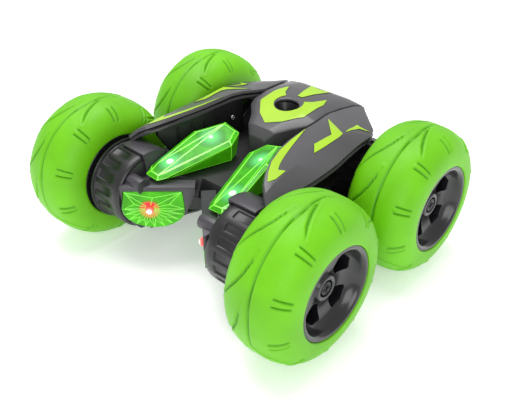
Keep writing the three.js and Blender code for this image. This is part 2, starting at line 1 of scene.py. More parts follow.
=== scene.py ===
# Double-sided stunt car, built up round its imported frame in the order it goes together: chassis,
# gearboxes and drives, wheels, light bars and lamps, electrics, cockpits, wings, and last the studio.
import math

import bmesh
import bpy
import numpy as np
from mathutils import Matrix, Vector
from mathutils.bvhtree import BVHTree


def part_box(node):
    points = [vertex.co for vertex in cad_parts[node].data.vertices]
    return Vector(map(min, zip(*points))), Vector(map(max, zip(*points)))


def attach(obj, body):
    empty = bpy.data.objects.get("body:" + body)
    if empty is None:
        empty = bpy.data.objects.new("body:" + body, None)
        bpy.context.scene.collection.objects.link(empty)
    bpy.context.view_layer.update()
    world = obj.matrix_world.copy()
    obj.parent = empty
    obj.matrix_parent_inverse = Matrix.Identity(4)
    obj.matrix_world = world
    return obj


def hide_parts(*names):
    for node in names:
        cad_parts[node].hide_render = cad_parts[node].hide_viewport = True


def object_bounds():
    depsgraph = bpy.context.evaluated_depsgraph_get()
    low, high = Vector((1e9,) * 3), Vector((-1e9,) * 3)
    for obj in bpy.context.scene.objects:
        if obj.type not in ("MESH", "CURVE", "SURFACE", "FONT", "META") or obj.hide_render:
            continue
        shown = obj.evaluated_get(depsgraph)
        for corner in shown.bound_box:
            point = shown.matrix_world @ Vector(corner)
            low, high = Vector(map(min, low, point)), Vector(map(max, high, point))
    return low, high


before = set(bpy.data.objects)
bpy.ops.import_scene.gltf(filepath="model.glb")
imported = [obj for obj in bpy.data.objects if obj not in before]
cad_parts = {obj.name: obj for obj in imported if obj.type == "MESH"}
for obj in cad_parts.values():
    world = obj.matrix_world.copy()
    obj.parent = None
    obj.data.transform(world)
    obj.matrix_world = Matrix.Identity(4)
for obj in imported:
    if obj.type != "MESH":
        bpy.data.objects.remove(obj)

MM = 0.001
cad_low, cad_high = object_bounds()
ENDS = ("front", "rear")
SIDES = ("left", "right")
CORNERS = [f"{end}_{side}" for end in ENDS for side in SIDES]

# ---- Camera -------------------------------------------------------------------------------------
# A long-ish lens looking down on the car's front right corner, tilted a hair from level.
AZIMUTH, ELEVATION, ROLL = math.radians(42.69), math.radians(33.68), math.radians(-0.35)
CAMERA_PLACE = Vector((217.96, -231.44, 237.88)) * MM

camera_data = bpy.data.cameras.new("camera")
camera_data.lens = 48.48
camera_data.sensor_width = 36
camera = bpy.data.objects.new("camera", camera_data)
bpy.context.scene.collection.objects.link(camera)
turn = Matrix.Rotation(AZIMUTH, 4, "Z") @ Matrix.Rotation(math.pi / 2 - ELEVATION, 4, "X")
camera.matrix_world = Matrix.Translation(CAMERA_PLACE) @ turn @ Matrix.Rotation(ROLL, 4, "Z")
bpy.context.scene.camera = camera


# ---- Chassis halves -----------------------------------------------------------------------------
# Two black moulded trays meet on the axle plane, each with a deck over the axles and the two walls
# of its valley. The moulding has a fine spark-eroded grain and every edge is softly rounded.
CHASSIS_BLACK = (0.006, 0.006, 0.0065)
CHASSIS_EDGE = 0.45 * MM


def moulded_plastic(name, colour, roughness, grain=2400, bump=0.03, shift=0.25, coat=0.0):
    """Moulded plastic: fine grain in the bump, and slow drifts in colour and in gloss."""
    material = bpy.data.materials.new(name)
    material.use_nodes = True
    nodes, links = material.node_tree.nodes, material.node_tree.links
    shader = nodes["Principled BSDF"]
    shader.inputs["Coat Weight"].default_value = coat
    shader.inputs["Coat Roughness"].default_value = 0.12
    place = nodes.new("ShaderNodeTexCoord")
    drift = nodes.new("ShaderNodeTexNoise")
    drift.inputs["Scale"].default_value = 38
    drift.inputs["Detail"].default_value = 3
    links.new(place.outputs["Object"], drift.inputs["Vector"])
    paint = nodes.new("ShaderNodeValToRGB")
    paint.color_ramp.elements[0].position = 0.3
    paint.color_ramp.elements[1].position = 0.7
    paint.color_ramp.elements[0].color = (*[c * (1 - shift) for c in colour], 1)
    paint.color_ramp.elements[1].color = (*[min(1, c * (1 + shift)) for c in colour], 1)
    links.new(drift.outputs["Fac"], paint.inputs["Fac"])
    links.new(paint.outputs["Color"], shader.inputs["Base Color"])
    gloss = nodes.new("ShaderNodeMapRange")
    gloss.inputs["To Min"].default_value = roughness - 0.05
    gloss.inputs["To Max"].default_value = roughness + 0.07
    links.new(drift.outputs["Fac"], gloss.inputs["Value"])
    links.new(gloss.outputs["Result"], shader.inputs["Roughness"])
    fine = nodes.new("ShaderNodeTexNoise")
    fine.inputs["Scale"].default_value = grain
    fine.inputs["Detail"].default_value = 2
    links.new(place.outputs["Object"], fine.inputs["Vector"])
    relief = nodes.new("ShaderNodeBump")
    relief.inputs["Strength"].default_value = bump
    relief.inputs["Distance"].default_value = 0.2 * MM
    links.new(fine.outputs["Fac"], relief.inputs["Height"])
    links.new(relief.outputs["Normal"], shader.inputs["Normal"])
    return material


def merged_copy(node):
    """A CAD node's mesh as a bmesh, with its loose triangles merged into flat faces."""
    bm = bmesh.new()
    bm.from_mesh(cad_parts[node].data)
    bmesh.ops.remove_doubles(bm, verts=bm.verts, dist=0.01 * MM)
    flat = math.radians(1)
    bmesh.ops.dissolve_limit(bm, angle_limit=flat, verts=bm.verts, edges=bm.edges)
    return bm


def soften(bm, width, sharpest=28, segments=2):
    """Rounds every edge that turns by more than the given number of degrees."""
    limit = math.radians(sharpest)
    edges = [e for e in bm.edges if len(e.link_faces) == 2 and e.calc_face_angle(0) > limit]
    bmesh.ops.bevel(
        bm, geom=edges, offset=width, offset_type="OFFSET", segments=segments, profile=0.5,
        affect="EDGES", clamp_overlap=True, material=-1,
    )


def fit_piece(bm, name, material, body, stands_for=(), crease=38, recalculate=True):
    """Turns a finished bmesh into a piece that rides on a body."""
    if recalculate:
        bmesh.ops.remove_doubles(bm, verts=bm.verts, dist=0.002 * MM)
        bmesh.ops.recalc_face_normals(bm, faces=bm.faces)
    mesh = bpy.data.meshes.new(name)
    bm.to_mesh(mesh)
    bm.free()
    mesh.shade_smooth()
    mesh.set_sharp_from_angle(angle=math.radians(crease))
    mesh.materials.append(material)
    piece = bpy.data.objects.new(name, mesh)
    bpy.context.scene.collection.objects.link(piece)
    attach(piece, body)
    if stands_for:
        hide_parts(*stands_for)
    return piece


chassis_plastic = moulded_plastic("black_chassis_plastic", CHASSIS_BLACK, 0.42, bump=0.06)
for half in ("upper", "lower"):
    tray = merged_copy(f"chassis_{half}")
    soften(tray, CHASSIS_EDGE)
    fit_piece(tray, f"moulded_chassis_{half}", chassis_plastic, "chassis", [f"chassis_{half}"])

# ---- Valley ribs --------------------------------------------------------------------------------
# Upright stiffening ribs stand on the inner faces of the valley walls, moulded in one with them.
RIB_WIDTH, RIB_PROUD, RIB_ROOT = 1.5 * MM, 1.2 * MM, 0.8 * MM
RIBS, RIB_STEP, FIRST_RIB = 5, 8.4 * MM, -20 * MM
RIB_FOOT = 11 * MM
RIB_HEAD = {"upper": 27 * MM, "lower": 24 * MM}


def surface_of(*nodes):
    """A tree to measure CAD nodes' surfaces with."""
    bm = bmesh.new()
    for node in nodes:
        bm.from_mesh(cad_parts[node].data)
    tree = BVHTree.FromBMesh(bm)
    bm.free()
    return tree


def block(bm, low, high):
    """Adds a box between two corners and returns its vertices."""
    size = Vector(high) - Vector(low)
    middle = (Vector(high) + Vector(low)) / 2
    place = Matrix.Translation(middle) @ Matrix.Diagonal((*size, 1))
    return bmesh.ops.create_cube(bm, size=1, matrix=place)["verts"]


axle_height = (cad_low.z + cad_high.z) / 2
for half, way in (("upper", 1), ("lower", -1)):
    walls = surface_of(f"chassis_{half}")
    ribs = bmesh.new()
    for side in (-1, 1):
        for i in range(RIBS):
            y = FIRST_RIB + i * RIB_STEP
            z_low = axle_height + way * RIB_FOOT
            z_high = axle_height + way * RIB_HEAD[half]
            hit = walls.ray_cast(Vector((0, y, z_high)), Vector((side, 0, 0)))[0]
            if hit is None:
                continue
            x_in, x_out = abs(hit.x) - RIB_PROUD, abs(hit.x) + RIB_ROOT
            xs = sorted((side * x_in, side * x_out))
            zs = sorted((z_low, z_high))
            block(ribs, (xs[0], y, zs[0]), (xs[1], y + RIB_WIDTH, zs[1]))
    soften(ribs, 0.3 * MM)
    fit_piece(ribs, f"valley_ribs_{half}", chassis_plastic, "chassis")

# ---- Gearbox drums ------------------------------------------------------------------------------
# A drum stands inboard of each wheel, moulded in black with eighteen cooling flutes round it, a flange
# at its outer end and a smooth band at its inner end. A bronze bush carries the axle through it.
DRUM_FLUTES = 18
FACES_PER_FLUTE = 6
DRUM_STEPS = DRUM_FLUTES * FACES_PER_FLUTE
FLUTE_FROM, FLUTE_TO = 6.8 * MM, 18.4 * MM
FLUTE_DEPTH, FLUTE_WALL = 1.0 * MM, 0.35 * MM
DRUM_WALL = 2 * MM


def spun(profile, centre, steps, closed=True):
    """Turns [x, r] points about the X axis line through centre."""
    bm = bmesh.new()
    verts = [bm.verts.new((x, centre.y, centre.z + r)) for x, r in profile]
    edges = [bm.edges.new(pair) for pair in zip(verts, verts[1:])]
    if closed:
        edges.append(bm.edges.new((verts[-1], verts[0])))
    bmesh.ops.spin(
        bm, geom=verts + edges, cent=centre, axis=(1, 0, 0), angle=2 * math.pi, steps=steps,
        use_merge=True, use_duplicate=False,
    )
    bmesh.ops.remove_doubles(bm, verts=bm.verts, dist=0.005 * MM)
    bmesh.ops.recalc_face_normals(bm, faces=bm.faces)
    return bm


def wheel_middle(corner):
    low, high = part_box(f"tyre_{corner}")
    return (low + high) / 2


drum_plastic = moulded_plastic("black_gearbox_plastic", (0.01, 0.0095, 0.011), 0.33, bump=0.04)
for corner in CORNERS:
    low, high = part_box(f"gearbox_{corner}")
    centre = Vector((0, wheel_middle(corner).y, axle_height))
    side = 1 if low.x > 0 else -1
    inner, outer = sorted((abs(low.x), abs(high.x)))
    flange = (high.z - low.z) / 2
    barrel = flange - 1.4 * MM
    bore = (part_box(f"axle_bush_{corner}")[1].z - axle_height) + 0.3 * MM
    end_wall = outer - 1.8 * MM
    profile = [
        (outer, bore), (outer, flange - 1.2 * MM), (outer - 0.4 * MM, flange - 0.1 * MM),
        (outer - 0.8 * MM, flange), (end_wall + 0.3 * MM, flange), (end_wall, flange - 0.3 * MM),
        (end_wall, barrel + 0.2 * MM), (end_wall - 0.3 * MM, barrel), (inner + FLUTE_TO, barrel),
        (inner + FLUTE_FROM, barrel), (inner + 3.2 * MM, barrel), (inner + 1.2 * MM, barrel - 0.3 * MM),
        (inner, barrel - 1.3 * MM), (inner, barrel - DRUM_WALL), (end_wall, barrel - DRUM_WALL),
        (end_wall, bore),
    ]
    drum = spun(profile, centre, DRUM_STEPS)
    flutes = []
    for face in drum.faces:
        c = face.calc_center_median() - centre
        radius = math.hypot(c.y, c.z)
        if radius > barrel - 0.15 * MM and inner + FLUTE_FROM < c.x < inner + FLUTE_TO:
            turned = math.atan2(c.z, c.y) % (2 * math.pi)
            step = int(turned / (2 * math.pi) * DRUM_STEPS)
            if step % FACES_PER_FLUTE < FACES_PER_FLUTE - 2:
                flutes.append(face)
    bmesh.ops.inset_region(
        drum, faces=flutes, thickness=FLUTE_WALL, depth=-FLUTE_DEPTH, use_even_offset=True,
    )
    soften(drum, 0.12 * MM, sharpest=50, segments=1)
    bmesh.ops.scale(drum, vec=(side, 1, 1), verts=drum.verts)
    fit_piece(drum, f"fluted_gearbox_{corner}", drum_plastic, "chassis", [f"gearbox_{corner}"])

# ---- Gearbox covers, with the front stubs and lamp housings -------------------------------------
# Dark grey covers close the drums towards the body. Each of the front pair also carries two round
# stubs, the housing of a lamp and cowls over and under its drum, all one moulding.
COVER_GREY = (0.042, 0.038, 0.046)
cover_plastic = moulded_plastic("dark_grey_cover_plastic", COVER_GREY, 0.4, bump=0.05)
for corner in CORNERS:
    cover = merged_copy(f"gearbox_cover_{corner}")
    soften(cover, 0.4 * MM)
    name = f"moulded_cover_{corner}"
    fit_piece(cover, name, cover_plastic, "chassis", [f"gearbox_cover_{corner}"])

# ---- Drive pieces -------------------------------------------------------------------------------
# Inside each drum a small can motor turns a brass pinion, and a white nylon gear turns the steel axle
# in its bronze bush. They are plain bought-in pieces, so the frame's own solids carry the finishes.
def metal(name, colour, roughness, lay=900):
    """Drawn or turned metal, with a fine grain in its bump and slow drifts in colour and in gloss."""
    material = moulded_plastic(name, colour, roughness, grain=lay, bump=0.02, shift=0.1)
    material.node_tree.nodes["Principled BSDF"].inputs["Metallic"].default_value = 1.0
    return material


def dress(node, material):
    """Gives a CAD node that stays in view its finish."""
    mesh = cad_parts[node].data
    mesh.materials.clear()
    mesh.materials.append(material)


drawn_steel = metal("drawn_steel", (0.55, 0.55, 0.57), 0.3)
turned_brass = metal("turned_brass", (0.62, 0.42, 0.17), 0.3)
sintered_bronze = metal("sintered_bronze", (0.42, 0.27, 0.12), 0.5)
white_nylon = moulded_plastic("white_nylon", (0.72, 0.7, 0.63), 0.45, shift=0.05)
for corner in CORNERS:
    dress(f"motor_{corner}", drawn_steel)
    dress(f"motor_pinion_{corner}", turned_brass)
    dress(f"axle_gear_{corner}", white_nylon)
    dress(f"axle_bush_{corner}", sintered_bronze)
    dress(f"axle_{corner}", drawn_steel)

# ---- Rims ---------------------------------------------------------------------------------------
# Each rim is one black moulding, a barrel closed near its outer end by a dished web of five broad
# spokes round a hub. Glossy on its outer face, and the windows between the spokes are pierced.
RIM_STEPS = 120
SPOKES = 5
HUB_RADIUS, SCREW_WELL = 6.6 * MM, 4.2 * MM
BORE = 1.8 * MM
DISH_DEPTH, WEB_THICKNESS = 8 * MM, 3 * MM
WINDOW_CORNER = 1.1 * MM


def window_cutter(centre, x_from, x_to):
    """Five rounded triangular prisms along X, wide towards the lip."""
    cutter = bmesh.new()
    for i in range(SPOKES):
        middle = 2 * math.pi * (i + 0.5) / SPOKES - math.radians(12)
        corners = [(8.6, -0.2), (17.0, -0.37), (17.9, 0), (17.0, 0.37), (8.6, 0.2)]
        verts = []
        for radius, half in corners:
            y = centre.y + radius * MM * math.cos(middle + half)
            z = centre.z + radius * MM * math.sin(middle + half)
            verts.append(cutter.verts.new((x_from, y, z)))
        face = cutter.faces.new(verts)
        sharp = [verts[0], verts[1], verts[3], verts[4]]
        bmesh.ops.bevel(
            cutter, geom=sharp, offset=WINDOW_CORNER, segments=4, profile=0.5, affect="VERTICES",
            material=-1,
        )
    caps = list(cutter.faces)
    grown = bmesh.ops.extrude_face_region(cutter, geom=caps)["geom"]
    moved = [v for v in grown if isinstance(v, bmesh.types.BMVert)]
    bmesh.ops.translate(cutter, vec=(x_to - x_from, 0, 0), verts=moved)
    bmesh.ops.recalc_face_normals(cutter, faces=cutter.faces)
    return cutter


def carve(bm, cutter):
    """Cuts one bmesh out of another and returns what is left."""
    whole, tool = [bpy.data.objects.new(n, bpy.data.meshes.new(n)) for n in ("whole", "tool")]
    bm.to_mesh(whole.data)
    cutter.to_mesh(tool.data)
    cutter.free()
    for piece in (whole, tool):
        bpy.context.scene.collection.objects.link(piece)
    cut = whole.modifiers.new("cut", "BOOLEAN")
    cut.operation, cut.solver, cut.object = "DIFFERENCE", "EXACT", tool
    done = whole.evaluated_get(bpy.context.evaluated_depsgraph_get())
    bm.clear()
    bm.from_mesh(done.data)
    for piece in (whole, tool):
        mesh = piece.data
        bpy.data.objects.remove(piece)
        bpy.data.meshes.remove(mesh)
    bmesh.ops.remove_doubles(bm, verts=bm.verts, dist=0.01 * MM)
    return bm


rim_plastic = moulded_plastic("glossy_black_rim", (0.008, 0.0075, 0.0095), 0.24, bump=0.02, coat=0.25)
low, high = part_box("rim_front_right")
rim_inner, rim_outer = low.x, high.x
lip = (high.z - low.z) / 2
seat, hollow, face = lip - 2 * MM, lip - 3.8 * MM, rim_outer - DISH_DEPTH
rim_profile = [
    (rim_inner, hollow), (rim_inner, lip - 0.4 * MM), (rim_inner + 0.4 * MM, lip),
    (rim_inner + 1.4 * MM, lip), (rim_inner + 2.4 * MM, seat), (rim_outer - 2.4 * MM, seat),
    (rim_outer - 1.6 * MM, lip), (rim_outer - 0.7 * MM, lip), (rim_outer - 0.2 * MM, lip - 0.2 * MM),
    (rim_outer, lip - 0.7 * MM), (rim_outer, lip - 1.5 * MM), (rim_outer - 0.3 * MM, lip - 2.1 * MM),
    (rim_outer - 1 * MM, lip - 2.7 * MM), (rim_outer - 2.4 * MM, lip - 3.3 * MM),
    (rim_outer - 4.2 * MM, lip - 4 * MM), (face + 2.2 * MM, lip - 5.2 * MM),
    (face + 1.1 * MM, lip - 6.8 * MM),
    (face + 0.4 * MM, lip - 9 * MM), (face, lip - 11.4 * MM), (face - 0.1 * MM, lip - 13.4 * MM),
    (face + 0.2 * MM, HUB_RADIUS + 1.2 * MM), (face + 1 * MM, HUB_RADIUS + 0.3 * MM),
    (face + 2 * MM, HUB_RADIUS - 0.2 * MM), (face + 2.4 * MM, HUB_RADIUS - 0.7 * MM),
    (face + 2.4 * MM, SCREW_WELL + 0.5 * MM), (face + 2.1 * MM, SCREW_WELL), (face, SCREW_WELL),
    (face, BORE),
    (rim_inner + 4 * MM, BORE), (rim_inner + 4 * MM, HUB_RADIUS - 1.5 * MM),
    (face - WEB_THICKNESS - 1.2 * MM, HUB_RADIUS), (face - WEB_THICKNESS - 1 * MM, hollow - 0.6 * MM),
]
rim_centre = Vector((0, wheel_middle("front_right").y, axle_height))
rim = spun(rim_profile, rim_centre, RIM_STEPS)
carve(rim, window_cutter(rim_centre, face - 9 * MM, face + 5 * MM))
window_edges = [
    e for e in rim.edges
    if len(e.link_faces) == 2 and e.calc_face_angle(0) > math.radians(50)
    and all(v.co.x > face - 1 * MM for v in e.verts)
    and all(8 * MM < math.hypot(v.co.y - rim_centre.y, v.co.z - rim_centre.z) < 18.6 * MM for v in e.verts)
]
bmesh.ops.bevel(
    rim, geom=window_edges, offset=0.5 * MM, segments=2, profile=0.5, affect="EDGES",
    clamp_overlap=True, material=-1,
)


def at_corner(bm, corner, mirrored=True):
    """A copy of a front right wheel's bmesh at any corner, mirrored for the left side or moved there."""
    copy = bm.copy()
    place = wheel_middle(corner)
    start = wheel_middle("front_right")
    shift = (0 if mirrored else place.x - start.x, place.y - start.y, 0)
    bmesh.ops.translate(copy, vec=shift, verts=copy.verts)
    if mirrored and place.x < 0:
        bmesh.ops.scale(copy, vec=(-1, 1, 1), verts=copy.verts)
    return copy


for corner in CORNERS:
    name, body = f"five_spoke_rim_{corner}", f"wheel_{corner}"
    fit_piece(at_corner(rim, corner), name, rim_plastic, body, [f"rim_{corner}"], crease=42)
rim.free()

# ---- Wheel screws -------------------------------------------------------------------------------
# A blackened cross-head screw sits at the bottom of each hub's well and draws the rim onto its axle.
blackened_steel = metal("blackened_steel", (0.05, 0.05, 0.055), 0.38)
for corner in CORNERS:
    screw = merged_copy(f"wheel_screw_{corner}")
    soften(screw, 0.25 * MM)
    name, body = f"cross_head_screw_{corner}", f"wheel_{corner}"
    fit_piece(screw, name, blackened_steel, body, [f"wheel_screw_{corner}"])

# ---- Body screws --------------------------------------------------------------------------------
# Bright pan-head screws hold the valley walls and the cockpits' tails to the chassis. They are sunk a
# little into the surface that a probe finds, and point out of it.
HEAD_RADIUS, HEAD_RISE = 1.7 * MM, 0.9 * MM
RECESS_LENGTH, RECESS_WIDTH = 2.1 * MM, 0.5 * MM
# The pieces are numbered from this one up.
FIRST_SCREW = 2
# Each screw's node, where its probe starts (x, y, height over the axles in mm) and which way it looks.
SCREW_PLACES = [
    ("chassis_upper", (0, 17.5, 21), (1, 0, 0)), ("chassis_upper", (0, 17.5, 21), (-1, 0, 0)),
    ("cockpit_top", (11, 100, 24), (0, -1, 0)), ("cockpit_top", (-11, 100, 24), (0, -1, 0)),
    ("cockpit_bottom", (11, 100, -22), (0, -1, 0)), ("cockpit_bottom", (-11, 100, -22), (0, -1, 0)),
]

head = bmesh.new()
head_middle = Matrix.Translation((0, 0, HEAD_RISE * 0.4))
bmesh.ops.create_cone(
    head, cap_ends=True, segments=36, radius1=HEAD_RADIUS, radius2=HEAD_RADIUS * 0.72, depth=HEAD_RISE,
    matrix=head_middle,
)
soften(head, 0.25 * MM)
half_long, half_wide = RECESS_LENGTH / 2, RECESS_WIDTH / 2
for x, y in ((half_long, half_wide), (half_wide, half_long)):
    recess = bmesh.new()
    block(recess, (-x, -y, HEAD_RISE * 0.3), (x, y, HEAD_RISE * 2))
    carve(head, recess)
for i, (node, start, look) in enumerate(SCREW_PLACES, FIRST_SCREW):
    probe = Vector(start) * MM + Vector((0, 0, axle_height))
    spot, out = surface_of(node).ray_cast(probe, Vector(look))[:2]
    if out.dot(Vector(look)) > 0:
        out = -out
    screw = head.copy()
    upright = out.to_track_quat("Z", "Y").to_matrix().to_4x4()
    bmesh.ops.transform(screw, matrix=Matrix.Translation(spot) @ upright, verts=screw.verts)
    fit_piece(screw, f"body_screw_{i}", drawn_steel, "chassis")
head.free()

# ---- Tyres --------------------------------------------------------------------------------------
# Soft green balloon tyres, hollow and open between their beads. Long grooves wind round the crown
# with side veins like a leaf's, and pairs of short lines mark ten raised bars on one shoulder.
TREAD_STEPS, SECTION_STEPS = 540, 104
FULLNESS = 2.5
TYRE_WALL, BEAD_WIDTH, BEAD_DROP = 2.6 * MM, 5.5 * MM, 2 * MM
BEAD_RADIUS = lip + 0.3 * MM
TREAD_ALLOWANCE = 0.35 * MM
GROOVE_HALF, GROOVE_DEPTH, RUN_OUT = 0.85 * MM, 0.9 * MM, 0.5 * MM
BAR_GROOVE_HALF, BAR_GROOVE_SHARE = 0.75 * MM, 0.8
# Tread lines as (degrees round from the rear by way of the top, share of the half width outwards).
MAIN_GROOVE = [
    (63, 0.47), (69, 0.2), (76, 0.09), (98, 0.14), (118, 0.09), (148, 0.09), (180, 0.14), (200, 0.14),
    (206, 0.39), (211, 0.62), (220, 0.78), (231, 0.88),
]
SIDE_VEIN = [(142, -0.9), (136, -0.76), (128, -0.57), (121, -0.38), (114, -0.24), (105, -0.14), (97, -0.11)]
SPUR = [(114, 0.62), (106, 0.46), (98, 0.34), (90, 0.24), (82, 0.17)]
BARS, BAR_MIDDLE, BAR_HALF = 10, 86, 2.6

tyre_low, tyre_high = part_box("tyre_front_right")
tyre_centre = (tyre_low + tyre_high) / 2
tyre_half = (tyre_high.x - tyre_low.x) / 2
tyre_radius = (tyre_high.z - tyre_low.z) / 2


def balloon_section(shrink, steps):
    """[x, r] points round the rounded section from the inner side to the outer, without its two ends."""
    points = []
    for i in range(1, steps):
        angle = math.pi * i / steps
        across = -math.copysign(abs(math.cos(angle)) ** (2 / FULLNESS), math.cos(angle))
        rise = math.sin(angle) ** (2 / FULLNESS)
        reach = tyre_radius - TREAD_ALLOWANCE - BEAD_RADIUS - shrink
        points.append((tyre_centre.x + across * (tyre_half - shrink), BEAD_RADIUS + reach * rise))
    return points


crown = balloon_section(0, SECTION_STEPS)
inside = balloon_section(TYRE_WALL, 24)
tyre_profile = [
    (tyre_low.x, BEAD_RADIUS), *crown, (tyre_high.x, BEAD_RADIUS),
    (tyre_high.x - 0.4 * MM, BEAD_RADIUS - 0.25 * MM), (tyre_high.x - 2 * MM, BEAD_RADIUS - 0.25 * MM),
    (tyre_high.x - 3 * MM, BEAD_RADIUS - BEAD_DROP), (tyre_high.x - BEAD_WIDTH, BEAD_RADIUS - BEAD_DROP),
    *reversed(inside), (tyre_low.x + BEAD_WIDTH, BEAD_RADIUS - BEAD_DROP),
    (tyre_low.x + 3 * MM, BEAD_RADIUS - BEAD_DROP), (tyre_low.x + 2 * MM, BEAD_RADIUS - 0.25 * MM),
    (tyre_low.x + 0.4 * MM, BEAD_RADIUS - 0.25 * MM),
]
tyre = spun(tyre_profile, Vector((0, tyre_centre.y, axle_height)), TREAD_STEPS)

crown_x = np.array([p[0] for p in crown])
crown_r = np.array([p[1] for p in crown])
crown_arc = np.concatenate([[0], np.cumsum(np.hypot(np.diff(crown_x), np.diff(crown_r)))])


def unrolled(line, turned):
    """A tread line as points on the unrolled crown: distance round, distance across."""
    degrees = np.array([p[0] + turned for p in line], float)
    x = tyre_centre.x + tyre_half * np.array([p[1] for p in line])
    return np.stack([np.radians(degrees), np.interp(x, crown_x, crown_arc)], axis=1)


def distance_to(line, angle, across, radius, taper=0.0):
    """Each point's distance from a tread line, measured on the crown at the point's own radius. A
    tapered line counts as further away towards its two ends, so that its groove runs out there."""
    best = np.full(len(angle), 1.0)
    spans = len(line) - 1
    for i, ((a0, u0), (a1, u1)) in enumerate(zip(line, line[1:])):
        turn = (angle - a0 + math.pi) % (2 * math.pi) - math.pi
        px, py = turn * radius, across - u0
        dx, dy = (a1 - a0) * radius, u1 - u0
        share = np.clip((px * dx + py * dy) / (dx * dx + dy * dy + 1e-12), 0, 1)
        along = (i + share) / spans
        run_out = taper * np.clip(1 - 4 * np.minimum(along, 1 - along), 0, 1)
        best = np.minimum(best, np.hypot(px - share * dx, py - share * dy) + run_out)
    return best


depth_layer = tyre.verts.layers.float.new("groove_depth")
verts = list(tyre.verts)
place = np.array([v.co for v in verts]) - np.array([0, tyre_centre.y, axle_height])
radius = np.hypot(place[:, 1], place[:, 2])
angle = np.arctan2(place[:, 2], -place[:, 1]) % (2 * math.pi)
angle = (math.pi - angle) % (2 * math.pi)
across = np.interp(place[:, 0], crown_x, crown_arc)
section_radius = np.interp(place[:, 0], crown_x, crown_r)
on_crown = np.abs(radius - section_radius) < 0.2 * MM
gap = np.full(len(verts), 1.0)
lines = [unrolled(MAIN_GROOVE, t) for t in (0, 180)] + [unrolled(SPUR, t) for t in (0, 180)]
lines += [unrolled(SIDE_VEIN, 360 * k / BARS) for k in range(BARS)]
for line in lines:
    gap = np.minimum(gap, distance_to(line, angle, across, section_radius, taper=RUN_OUT))
short = np.full(len(verts), 1.0)
raised = np.zeros(len(verts))
for k in range(BARS):
    middle = BAR_MIDDLE + 360 * k / BARS
    for edge in (-BAR_HALF, BAR_HALF):
        line = unrolled([(middle + edge, 0.62), (middle + edge * 0.9, 0.92)], 0)
        short = np.minimum(short, distance_to(line, angle, across, section_radius))
    ridge = unrolled([(middle, 0.64), (middle, 0.9)], 0)
    raised = np.maximum(raised, np.clip(1.6 - distance_to(ridge, angle, across, section_radius) / MM, 0, 1))


def valley(distance, half):
    """One in the middle of a groove, falling smoothly to nothing at its edges."""
    t = np.clip(1 - distance / half, 0, 1)
    return t * t * (3 - 2 * t)


bar_groove = BAR_GROOVE_SHARE * valley(short, BAR_GROOVE_HALF)
groove = np.maximum(valley(gap, GROOVE_HALF), bar_groove) * on_crown
banks = valley(np.abs(gap - 1.6 * MM), 1.6 * MM) * on_crown * (1 - groove)
rise = TREAD_ALLOWANCE * np.maximum(0.6 * banks, 0.95 * raised * on_crown * (1 - groove))
lift = rise - GROOVE_DEPTH * groove
slope = np.gradient(crown_r, crown_x)
tilt = np.interp(place[:, 0], crown_x, np.arctan(slope))
for i, vert in enumerate(verts):
    vert[depth_layer] = groove[i]
    if on_crown[i] and lift[i]:
        outwards = math.cos(tilt[i])
        sideways = -math.sin(tilt[i])
        vert.co.x += lift[i] * sideways
        vert.co.y += lift[i] * outwards * place[i, 1] / radius[i]
        vert.co.z += lift[i] * outwards * place[i, 2] / radius[i]

# The second green is painted shade: it darkens the rubber's colour along the grooves, where shade falls in
# them.
TYRE_GREEN, GROOVE_SHADE_GREEN = (0.135, 0.47, 0.003), (0.045, 0.24, 0.001)
tyre_rubber = moulded_plastic("soft_green_rubber", TYRE_GREEN, 0.46, grain=1500, bump=0.05, shift=0.12)
rubber_nodes, rubber_links = tyre_rubber.node_tree.nodes, tyre_rubber.node_tree.links
rubber_shader = rubber_nodes["Principled BSDF"]
rubber_shader.inputs["Specular IOR Level"].default_value = 0.3
# Each point's groove depth mixes the painted groove shade into the rubber's colour.
groove_value = rubber_nodes.new("ShaderNodeAttribute")
groove_value.attribute_name = "groove_depth"
shade = rubber_nodes.new("ShaderNodeMixRGB")
shade.blend_type = "MIX"
shade.inputs["Color2"].default_value = (*GROOVE_SHADE_GREEN, 1)
paint = rubber_shader.inputs["Base Color"].links[0].from_socket
rubber_links.new(groove_value.outputs["Fac"], shade.inputs["Fac"])
rubber_links.new(paint, shade.inputs["Color1"])
rubber_links.new(shade.outputs["Color"], rubber_shader.inputs["Base Color"])
for corner in CORNERS:
    name, body = f"balloon_tyre_{corner}", f"wheel_{corner}"
    copy = at_corner(tyre, corner, mirrored=False)
    fit_piece(copy, name, tyre_rubber, body, [f"tyre_{corner}"], crease=60, recalculate=False)
tyre.free()

# ---- Light bars ---------------------------------------------------------------------------------
# Two clear green crystals lie along the valley on each side of the car, cut in flat facets with
# polished, rounded edges whose brightness is a painted highlight. Two white light-emitting diodes
# behind each one glow through its top.
BAR_EDGE = 0.5 * MM
BAR_GREEN, BAR_GLOW, BAR_HALO = (0.04, 0.34, 0.003), (0.01, 0.05, 0.0), (0.12, 0.7, 0.16)
# The two diodes of a bar, as distance out from the middle, place along it and depth below its top.
BAR_DIODES = [(17.5 * MM, -10.5 * MM, 1.6 * MM), (22.5 * MM, -35.5 * MM, 9.0 * MM)]


